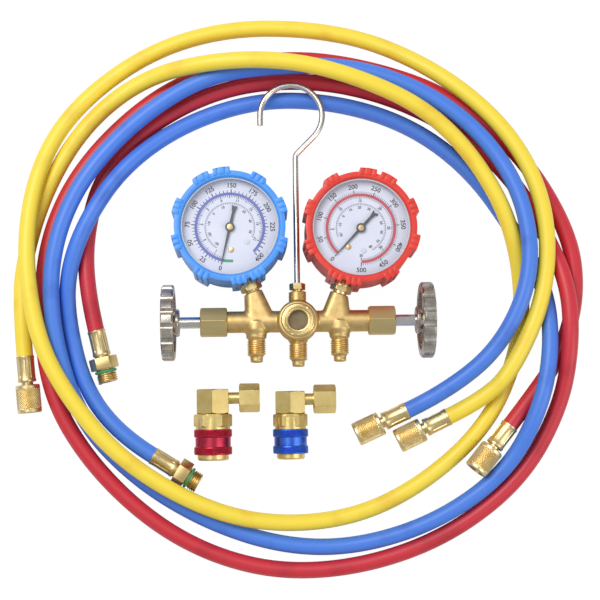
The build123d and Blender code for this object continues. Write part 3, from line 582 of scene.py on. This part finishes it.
def printed_band(name, inner, outer, first, last):
    """A flat band of ink between two radii, from one angle to another, clockwise."""
    bpy.ops.mesh.primitive_plane_add(size=1)
    band = bpy.context.object
    band.name = name
    for corner, radius in zip((0, 1), (inner, outer)):
        band.data.vertices[corner].co = (radius * mm, 0, print_height)
    begin_edit(band, lambda corner: corner.index > 1)
    bpy.ops.mesh.delete(type="VERT")
    bpy.ops.mesh.select_all(action="SELECT")
    bpy.ops.transform.rotate(value=-math.radians(first), orient_axis="Z", center_override=(0, 0, 0))
    bpy.ops.mesh.spin(steps=max(3, int(abs(last - first) / 3)), angle=math.radians(first - last),
                      center=(0, 0, 0), axis=(0, 0, 1))
    bpy.ops.mesh.select_all(action="SELECT")
    bpy.ops.mesh.flip_normals()
    end_edit()
    return band


def printed_ticks(name, angles, inner, outer, width):
    """Radial strokes of ink: one is drawn, then copied round to each angle."""
    strokes = []
    middle = (inner + outer) / 2 * mm
    for angle in angles:
        bpy.ops.mesh.primitive_plane_add(size=1, location=(middle, 0, print_height))
        stroke = bpy.context.object
        stroke.scale = ((outer - inner) * mm, width * mm, 1)
        bpy.ops.object.transform_apply(location=True, rotation=False, scale=True)
        stroke.rotation_euler.z = math.radians(angle)
        bpy.ops.object.transform_apply(location=False, rotation=True, scale=False)
        strokes.append(stroke)
    return joined(name, strokes)


def joined(name, pieces):
    """Join several like pieces into one."""
    bpy.ops.object.select_all(action="DESELECT")
    for piece in pieces:
        piece.select_set(True)
    bpy.context.view_layer.objects.active = pieces[0]
    if len(pieces) > 1:
        bpy.ops.object.join()
    pieces[0].name = name
    return pieces[0]


def printed_numbers(name, entries, radius, height):
    """Numbers set round the dial, each square to its own radius or, in the lower half, upright."""
    words = []
    for text, angle in entries:
        bpy.ops.object.text_add(location=(0, 0, 0))
        word = bpy.context.object
        word.data.body = text
        word.data.size = height * mm
        word.data.offset = letter_weight
        word.data.align_x = "CENTER"
        word.data.align_y = "CENTER"
        word.data.resolution_u = 3
        word.select_set(True)
        bpy.ops.object.convert(target="MESH")
        word = bpy.context.object
        spot = math.radians(angle)
        lean = angle - 90 if math.sin(spot) > upright_below else angle + 90
        word.matrix_world = (Matrix.Translation((radius * mm * math.cos(spot),
                                                 radius * mm * math.sin(spot), print_height))
                             @ Matrix.Rotation(math.radians(lean), 4, "Z"))
        bpy.ops.object.transform_apply(location=True, rotation=True, scale=True)
        words.append(word)
    return joined(name, words)


def along(scale, value):
    """The angle of a value, read between the marks of a scale."""
    marks = sorted(scale)
    low = max([mark for mark in marks[:-1] if mark <= value], default=marks[0])
    high = marks[marks.index(low) + 1]
    return scale[low] + (scale[high] - scale[low]) * (value - low) / (high - low)


def spread(scale, step):
    """The angles of every step of a scale, from its first mark to its last."""
    first, last = min(scale), max(scale)
    return [along(scale, first + step * count) for count in range(int((last - first) / step) + 1)]


def evenly(first, last, parts):
    """Angles that cut the sweep from first to last into equal parts."""
    return [first + (last - first) * count / parts for count in range(parts + 1)]


low_scale = {0: -122.5, 25: -149.1, 50: -177.8, 75: -203.5, 100: -231.6, 125: -260.9, 150: -291.6,
             175: -322.7, 200: -351.2, 225: -379.0, 250: -405.1, 400: -425.6}
even_scale = {value: angle for value, angle in low_scale.items() if value <= 250}
low_first, low_even_last, low_last = low_scale[0], low_scale[250], low_scale[400]
high_scale = {0: -114.5, 500: -431.5}
high_first, high_last = high_scale[0], high_scale[500]
vacuum_first = -104.0
low_circle_first = low_first - 20
high_circle_first = high_first - 28
prints = {"low": {}, "high": {}}
prints["low"]["blue"] = [
    printed_band("low_blue_band", band_inside, band_outside, low_first, low_last),
]
prints["low"]["green"] = [
    printed_band("low_vacuum_band", band_inside, band_outside, vacuum_first, low_first),
]
prints["low"]["black"] = [
    printed_ticks("low_fine_ticks", spread(even_scale, 5), band_outside, fine_outside,
                  fine_width["low"]),
    printed_ticks("low_ticks", spread(even_scale, 25), mark_inside, mark_outside, mark_width),
    printed_ticks("low_end_ticks", [low_last, along(low_scale, 300), along(low_scale, 350)],
                  band_outside, mark_outside, mark_width),
    printed_numbers("low_numbers", [(str(value), low_scale[value]) for value in
                                    (0, 25, 50, 75, 100, 125, 150, 175, 200, 225, 400)],
                    number_spot, number_height),
]
prints["low"]["grey"] = [
    printed_ticks("low_inner_ticks", evenly(low_first, low_even_last, 85),
                  inner_fine_inside, band_inside, inner_fine_width),
    printed_ticks("low_inner_marks", evenly(low_first, low_even_last, 17),
                  inner_mark_inside["low"], band_inside, inner_mark_width),
    printed_numbers("low_inner_numbers", [(str(count), angle) for count, angle in enumerate(
        evenly(low_first, low_even_last, 17)) if count % 2], inner_number_spot,
                    inner_number_height),
    printed_band("low_circle", circle_inside, circle_outside, low_circle_first, low_even_last),
    printed_ticks("low_circle_ticks", [low_circle_first - 4.4 * count for count in range(60)],
                  circle_mark_inside, circle_mark_outside, circle_mark_width),
    printed_numbers("low_circle_numbers", [(str(count * 10 - 30), low_first - 26 - 30.5 * count)
                                           for count in range(9)],
                    circle_number_spot, circle_number_height),
]
prints["high"]["red"] = [
    printed_band("high_red_band", band_inside, band_outside, high_first, high_last),
]
prints["high"]["black"] = [
    printed_ticks("high_fine_ticks", spread(high_scale, 5), band_outside, fine_outside,
                  fine_width["high"]),
    printed_ticks("high_ticks", spread(high_scale, 50), mark_inside, mark_outside, mark_width),
    printed_numbers("high_numbers", [(str(value), along(high_scale, value))
                                     for value in range(0, 501, 50)], number_spot, number_height),
]
prints["high"]["grey"] = [
    printed_ticks("high_inner_ticks", evenly(high_first, high_last, 105),
                  inner_fine_inside, band_inside, inner_fine_width),
    printed_ticks("high_inner_marks", evenly(high_first, high_last, 7),
                  inner_mark_inside["high"], band_inside, inner_mark_width),
    printed_numbers("high_inner_numbers", [(str(count * 5), angle) for count, angle in enumerate(
        evenly(high_first, high_last, 7))], inner_number_spot, inner_number_height),
    printed_band("high_circle", circle_inside, circle_outside, high_circle_first, high_last + 28),
    printed_ticks("high_circle_ticks", [high_circle_first - 4.35 * count for count in range(61)],
                  circle_mark_inside, circle_mark_outside, circle_mark_width),
    printed_numbers("high_circle_numbers", [(str(count * 10 - 20), high_first - 30 - 26.0 * count)
                                            for count in range(11)],
                    circle_number_spot, circle_number_height),
]
for side, groups in prints.items():
    for ink, pieces in groups.items():
        finish_piece(joined(f"{side}_dial_{ink}_print", pieces), inks[ink], "manifold",
                     slot="dial_white", smooth=0, place=gauge_places[side])
    broken_edges(nodes[f"dial_{side}"], 0.05 * mm, dial_paint, limit=40)

# Pointers, screws and windows.
# A stamped black pointer with a fishtail sits on the pinion under a brass hub; two screws hold
# the dial; the clear window lies in a pale seal just inside the boot's lip.
lens_clear = bpy.data.materials.new("clear_window")
lens_clear.use_nodes = True
window_tree = lens_clear.node_tree
link = window_tree.links.new
window = window_tree.nodes["Principled BSDF"]
window.inputs["Base Color"].default_value = (0.93, 0.95, 1.0, 1)
window.inputs["Roughness"].default_value = 0.03
haze_place = window_tree.nodes.new("ShaderNodeTexCoord")
haze = window_tree.nodes.new("ShaderNodeTexNoise")
haze.inputs["Scale"].default_value = 60.0
haze_range = window_tree.nodes.new("ShaderNodeMapRange")
haze_range.inputs["To Min"].default_value = 0.025
haze_range.inputs["To Max"].default_value = 0.06
link(haze_place.outputs["Object"], haze.inputs["Vector"])
link(haze.outputs["Fac"], haze_range.inputs["Value"])
link(haze_range.outputs["Result"], window.inputs["Alpha"])
seal_vinyl = paint("window_seal", (0.72, 0.74, 0.80, 1), (0.64, 0.66, 0.74, 1), 0.30)
pointer_black = paint("pointer_black", (0.03, 0.03, 0.032, 1), (0.045, 0.045, 0.048, 1), 0.38)

for side in ("low", "high"):
    broken_edges(nodes[f"pointer_{side}"], 0.06 * mm, pointer_black, limit=40)
    broken_edges(nodes[f"lens_{side}"], 0.2 * mm, lens_clear, limit=40)
    hub = new_ring(f"pointer_hub_{side}", 48, 1.9)
    lathe(((1.9, 8.9), (1.9, 9.2), (1.6, 9.45), (0.75, 9.5), (0.6, 9.35), (0.15, 9.35), (0.15, 8.9),
           (1.9, 8.9)))
    finish_piece(hub, turned_brass, f"needle_{side}", slot="brass", place=gauge_places[side])
    seal = new_ring(f"window_seal_{side}", 128, 29.3)
    lathe(((29.3, 11.9), (29.3, 12.4), (28.9, 12.7), (28.5, 12.5), (28.4, 12.0), (28.5, 11.9),
           (29.3, 11.9)))
    finish_piece(seal, seal_vinyl, "manifold", slot="clear_window", smooth=50,
                 place=gauge_places[side])

dial_screw_spot = 13.6 * mm
dial_screws = {("low", "left"): (-106.0, turned_brass, "brass"),
               ("low", "right"): (-60.0, seal_vinyl, "dial_white"),
               ("high", "left"): (-105.0, turned_brass, "brass"),
               ("high", "right"): (-65.0, seal_vinyl, "dial_white")}
for (side, hand), (angle, finish, slot) in dial_screws.items():
    screw = new_ring(f"dial_screw_{side}_{hand}", 48, 1.7)
    lathe(((1.7, 6.9), (1.7, 7.25), (1.45, 7.5), (0.1, 7.62), (0.1, 6.9), (1.7, 6.9)))
    turned_at = Matrix.Translation((dial_screw_spot * math.cos(math.radians(angle)),
                                    dial_screw_spot * math.sin(math.radians(angle)), 0))
    finish_piece(screw, finish, "manifold", slot=slot, place=gauge_places[side] @ turned_at)

# Boots.
# Glossy vinyl covers stretched over the gauge cases, with ten ribbed grip lugs round the side and
# a rolled lip that holds the window; the socket comes out through a round hole at the bottom.
boot_vinyls = {
    "low": paint("blue_vinyl", (0.075, 0.36, 0.95, 1), (0.055, 0.29, 0.88, 1), 0.30, 260.0,
                 0.00002),
    "high": paint("red_vinyl", (0.86, 0.062, 0.038, 1), (0.76, 0.045, 0.030, 1), 0.30, 260.0,
                  0.00002),
}
boot_back, boot_side, boot_front = 28.0, 33.2, 14.4
boot_outline = ((boot_back, -18.0), (boot_side, -18.0), (boot_side, -9.0), (boot_side, 8.0),
                (boot_side, boot_front), (31.4, boot_front), (30.3, boot_front), (29.35, 13.5),
                (29.3, 12.0), (31.0, 12.0), (31.0, -15.4), (boot_back, -15.4))
lug_sectors = ((2, 20), (42, 58), (80, 96), (122, 138), (162, 178))
lug_height, lug_rise, lug_front = 2.3 * mm, 0.5 * mm, 31.3 * mm
notch_from, notch_to, notch_depth, notch_back = 2.5, 4.5, 0.6 * mm, -9.0 * mm
hole_radius, hole_depth, hole_middle = 4.5 * mm, 12 * mm, -33.0 * mm
lip_roll, sharp_corner = 0.75 * mm, math.radians(38)


def grow_lug(boot, sign, first, last):
    """One grip lug, between two angles from the top of the case, on its left or right side."""
    halfway = (first + last) / 2
    middle = math.radians(90 - sign * halfway)
    outwards = Vector((math.cos(middle), math.sin(middle), 0))

    def turned(spot):
        return (sign * (90 - math.degrees(math.atan2(spot.y, spot.x)))) % 360

    def in_notch(spot):
        return notch_from < abs(turned(spot) - halfway) < notch_to

    def on_side(spot, normal):
        return (first < turned(spot) < last and abs(normal.z) < 0.2
                and math.hypot(*spot.xy) > (boot_side - 0.1) * mm)

    def across_side(spot, normal):
        return (in_notch(spot) and abs(normal.z) < 0.2 and spot.z > notch_back
                and math.hypot(*spot.xy) > (boot_side + 1.4) * mm)

    def on_front(spot, normal):
        return (first < turned(spot) < last and not in_notch(spot) and normal.z > 0.9
                and spot.z > (boot_front - 0.4) * mm and math.hypot(*spot.xy) > lug_front)

    push_faces(boot, on_side, lug_height * outwards)
    push_faces(boot, across_side, -notch_depth * outwards)
    push_faces(boot, on_front, (0, 0, lug_rise))


for side in ("low", "high"):
    boot = new_ring(f"boot_cover_{side}", 180, boot_back)
    lathe(boot_outline)
    begin_edit(boot)
    bpy.ops.mesh.fill_holes(sides=0)
    bpy.ops.mesh.normals_make_consistent(inside=False)
    end_edit()
    for first, last in lug_sectors:
        for sign in (1, -1):
            grow_lug(boot, sign, first, last)

    # The socket's hole is bored through the side wall, then every sharp edge is rolled.
    bpy.ops.mesh.primitive_cylinder_add(vertices=48, radius=hole_radius, depth=hole_depth,
                                        location=(0, hole_middle, 0),
                                        rotation=(math.radians(90), 0, 0))
    cutter = bpy.context.object
    bored = boot.modifiers.new("socket_hole", "BOOLEAN")
    bored.operation = "DIFFERENCE"
    bored.object = cutter
    bored.solver = "EXACT"
    rolled_edges = boot.modifiers.new("rolled_edges", "BEVEL")
    rolled_edges.width = lip_roll
    rolled_edges.segments = 3
    rolled_edges.limit_method = "ANGLE"
    rolled_edges.angle_limit = sharp_corner
    apply_modifiers(boot)
    bpy.data.objects.remove(cutter)
    finish_piece(boot, boot_vinyls[side], "manifold", f"boot_{side}",
                 slot={"low": "boot_blue", "high": "boot_red"}[side], smooth=45,
                 place=gauge_places[side])

# Hose ends.
# Each hose has a brass ferrule crimped on in eight flats; at a flare end a diamond-knurled swivel
# nut runs on the stem, at a coupler end a hexagon fitting with a 14 mm thread and a green seal.
nut_knurl, nut_rows, nut_knurl_depth = 64, 15, 0.55
nut_radius, nut_knurl_from, nut_knurl_to = 7.4, 20.2, 31.8
crimp_flats, crimp_press, crimp_half_width = 8, 0.35 * mm, math.radians(17)
crimp_from, crimp_to, crimp_outside = 2.0 * mm, 13.0 * mm, 5.0 * mm
hexagon_flats, hexagon_length, hexagon_middle = 15.0 * mm, 7.2 * mm, 20.4 * mm
fitting_root, fitting_crest, fitting_turns, fitting_thread_from = 5.4 * mm, 6.2 * mm, 3.6, 26.9 * mm
ferrule_brass = metal("ferrule_brass", (0.86, 0.69, 0.36, 1), (0.74, 0.56, 0.26, 1), 0.36, 800.0,
                      0.00002)
knurled_brass = metal("knurled_brass", (0.92, 0.75, 0.42, 1), (0.80, 0.61, 0.29, 1), 0.36, 900.0,
                      0.00001)
seal_green = paint("seal_green", (0.055, 0.36, 0.15, 1), (0.04, 0.28, 0.11, 1), 0.38)


def end_place(end, inner):
    """Z leaves the hose in line with its last run, X is level."""
    outwards = (Vector(end) - Vector(inner)).normalized()
    level = Vector((-outwards.y, outwards.x, 0)).normalized()
    turn = Matrix((level, outwards.cross(level), outwards)).transposed().to_4x4()
    return Matrix.Translation(end) @ turn


def knurl(piece, start, end, columns, depth, radius):
    """Cut a diamond knurl: every other point of the band goes inwards, in a checkerboard."""
    def in_band(spot, low):
        return start * mm < spot.z < end * mm and math.hypot(*spot.xy) > low * mm

    heights = sorted({round(point.co.z, 7) for point in piece.data.vertices
                      if in_band(point.co, radius - 0.01)})
    rows = {height: row for row, height in enumerate(heights)}

    def pressed(point):
        turn = math.degrees(math.atan2(point.co.y, point.co.x))
        return (in_band(point.co, radius - 0.01)
                and (round(turn * columns / 360) + rows[round(point.co.z, 7)]) % 2 == 1)

    begin_edit(piece, pressed)
    shrink = (radius - depth) / radius
    bpy.ops.transform.resize(value=(shrink, shrink, 1), center_override=(0, 0, 0))
    end_edit()
    begin_edit(piece, lambda face: in_band(face.center, radius - depth - 0.05), "FACE")
    bpy.ops.mesh.quads_convert_to_tris(quad_method="SHORTEST_DIAGONAL", ngon_method="BEAUTY")
    end_edit()


def ferrule(name, place, material):
    """A crimped ferrule: rolled lips at both ends and eight pressed flats between them."""
    piece = new_ring(name, 96, 4.2)
    lathe(((4.2, 0.0), (5.25, 0.0), (5.45, 0.2), (5.5, 0.7), (5.35, 1.2), (5.25, 1.6), (5.25, 3.0),
           (5.25, 6.0), (5.25, 9.0), (5.25, 12.0), (5.25, 13.4), (5.38, 13.9), (5.5, 14.4),
           (5.5, 15.1), (5.3, 15.6), (4.2, 15.6), (3.45, 15.6), (3.45, 17.0), (3.45, 19.0),
           (2.2, 19.0), (2.2, 0.3), (4.2, 0.3), (4.2, 0.0)))
    for flat in range(crimp_flats):
        middle = 2 * math.pi * (flat + 0.5) / crimp_flats

        def under_jaw(point):
            turn = math.atan2(point.co.y, point.co.x) - middle
            turn = abs((turn + math.pi) % (2 * math.pi) - math.pi)
            return (turn < crimp_half_width and crimp_from < point.co.z < crimp_to
                    and math.hypot(*point.co.xy) > crimp_outside)

        begin_edit(piece, under_jaw)
        bpy.ops.transform.translate(value=(-crimp_press * math.cos(middle),
                                           -crimp_press * math.sin(middle), 0))
        end_edit()
    return finish_piece(piece, material, "manifold", slot="brass", smooth=24, place=place)


hose_end_pieces = {colour: [] for colour in hose_routes}
for colour, route in hose_routes.items():
    ends = {"a": (route[0], route[1]), "b": (route[-1], route[-2])}
    for letter, (end, inner) in ends.items():
        place = end_place(end, inner)
        sleeve = ferrule(f"ferrule_{colour}_{letter}", place, ferrule_brass)
        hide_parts(f"hose_ends_{colour}")
        hose_end_pieces[colour].append(sleeve)

        # A stem stands out of the ferrule of each flare end, and a swivel nut turns on it.
        if letter == "a" or colour == "yellow":
            stem = new_ring(f"hose_stem_{colour}_{letter}", 64, 3.5)
            lathe(((3.5, 15.6), (3.5, 20.2), (5.0, 20.2), (5.0, 22.0), (3.4, 24.0), (1.8, 24.0),
                   (1.8, 15.6), (3.5, 15.6)))
            finish_piece(stem, turned_brass, "manifold", f"hose_ends_{colour}", slot="brass",
                         place=place)
            hose_end_pieces[colour].append(stem)
            nut = new_ring(f"swivel_nut_{colour}_{letter}", nut_knurl, 3.7)
            band = [(nut_radius, nut_knurl_from + (nut_knurl_to - nut_knurl_from) * row / nut_rows)
                    for row in range(nut_rows + 1)]
            lathe([(3.7, 17.4), (6.6, 17.4), (7.0, 17.6), (7.3, 18.1), (7.3, 19.7), (7.15, 19.9)]
                  + band + [(7.15, 32.1), (7.3, 32.3), (7.3, 33.7), (6.8, 34.4), (5.55, 34.4),
                            (5.55, 25.4), (5.9, 25.4), (5.9, 20.0), (3.7, 20.0), (3.7, 17.4)])
            knurl(nut, nut_knurl_from - 0.1, nut_knurl_to + 0.1, nut_knurl, nut_knurl_depth,
                  nut_radius)
            finish_piece(nut, knurled_brass, f"union_{colour}_{letter}",
                         f"hose_nut_{colour}_{letter}", slot="brass", smooth=24, place=place)
            hose_end_pieces[colour].append(nut)
            continue

        # A hexagon fitting at the coupler end, with its thread cut as a ridge.
        bpy.ops.object.select_all(action="DESELECT")
        bpy.ops.mesh.primitive_cylinder_add(vertices=6, radius=hexagon_flats / math.sqrt(3),
                                            depth=hexagon_length, location=(0, 0, hexagon_middle),
                                            rotation=(0, 0, math.radians(30)))
        hexagon = bpy.context.object
        hexagon.name = f"fitting_hexagon_{colour}"
        bpy.ops.object.transform_apply(location=True, rotation=True, scale=True)
        softened = hexagon.modifiers.new("broken_edges", "BEVEL")
        softened.width = 0.35 * mm
        softened.segments = 3
        apply_modifiers(hexagon)
        finish_piece(hexagon, drawn_brass, "manifold", f"male_fitting_{colour}", slot="brass",
                     place=place)
        shank = new_ring(f"fitting_shank_{colour}", 96, 4.7)
        lathe(((4.7, 15.6), (4.7, 17.0), (5.9, 17.0), (5.9, 24.3), (4.9, 24.3), (4.9, 26.7),
               (5.45, 26.7), (5.45, 31.6), (5.1, 32.2), (2.2, 32.2), (2.2, 15.6), (4.7, 15.6)))
        finish_piece(shank, turned_brass, "manifold", f"male_fitting_{colour}", slot="brass",
                     place=place)
        ridge = thread_ridge(f"fitting_thread_{colour}", fitting_turns, fitting_thread_from,
                             "manifold", turned_brass, place, root=fitting_root,
                             crest=fitting_crest)
        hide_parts(f"male_fitting_{colour}")
        broken_edges(nodes[f"fitting_seal_{colour}"], 0.02 * mm, seal_green, limit=60)
        hose_end_pieces[colour] += [hexagon, shank, ridge, nodes[f"fitting_seal_{colour}"]]

# Quick couplers.
# Each is a brass elbow block with a hexagon union nut, a hexagon-collared body screwed into it and
# a valve pin; a turned, anodised aluminium sleeve, knurled at both rims, slides back on the body.
coupler_brass = metal("coupler_brass", (0.90, 0.70, 0.29, 1), (0.78, 0.58, 0.21, 1), 0.35, 850.0,
                      0.00003, drawn=(1, 1, 0.2))
anodised = {
    "low": metal("anodised_blue", (0.085, 0.21, 0.80, 1), (0.05, 0.14, 0.66, 1), 0.34, 1200.0,
                 0.000008),
    "high": metal("anodised_red", (0.62, 0.055, 0.10, 1), (0.48, 0.035, 0.065, 1), 0.34, 1200.0,
                  0.000008),
}
coupler_sizes = {
    "low": dict(place=(-5.0, -73.2), block=13.7, sleeve=10.7, barrel=8.0, length=41.0),
    "high": dict(place=(-51.7, -71.4), block=15.0, sleeve=11.5, barrel=9.0, length=42.8),
}
collar_gap, mouth_gap = 9.2, 3.4
sleeve_knurl, sleeve_knurl_depth = 72, 0.35
rim_rows, rim_edge, rim_width = 7, 0.7, 3.4


def rim(radius, bottom):
    """The closely stepped outline of a rim, for the knurl to be cut in."""
    return [(radius, bottom + rim_width * row / rim_rows) for row in range(rim_rows + 1)]


for side, size in coupler_sizes.items():
    broken_edges(nodes[f"coupler_elbow_{side}"], 0.45 * mm, coupler_brass, segments=3)
    broken_edges(nodes[f"coupler_body_{side}"], 0.3 * mm, coupler_brass, segments=3)
    broken_edges(nodes[f"coupler_nut_{side}"], 0.3 * mm, coupler_brass, segments=3)
    broken_edges(nodes[f"coupler_pin_{side}"], 0.1 * mm, turned_brass)
    radius, barrel = size["sleeve"], size["barrel"]
    start, end = size["block"] + collar_gap, size["length"] - mouth_gap
    inner = radius - 1.0
    sleeve = new_ring(f"coupler_sleeve_cover_{side}", sleeve_knurl, inner)
    lathe([(inner, start), (radius - 0.5, start), (radius - 0.2, start + 0.4)]
          + rim(radius, start + rim_edge)
          + [(radius - 0.3, start + 4.5), (radius - 0.9, start + 4.9), (radius - 0.9, end - 4.9),
             (radius - 0.3, end - 4.5)]
          + rim(radius, end - rim_edge - rim_width)
          + [(radius - 0.2, end - 0.4), (radius - 0.5, end), (barrel + 0.3, end),
             (barrel + 0.3, start + 5.6), (inner, start + 5.6), (inner, start)])
    for bottom in (start + rim_edge, end - rim_edge - rim_width):
        knurl(sleeve, bottom - 0.1, bottom + rim_width + 0.1, sleeve_knurl, sleeve_knurl_depth,
              radius)
    sleeve_place = (Matrix.Translation((size["place"][0] * mm, size["place"][1] * mm, radius * mm))
                    @ Matrix.Rotation(math.radians(90), 4, "X"))
    finish_piece(sleeve, anodised[side], f"sleeve_{side}", f"coupler_sleeve_{side}",
                 slot={"low": "sleeve_blue", "high": "sleeve_red"}[side], smooth=26,
                 place=sleeve_place)
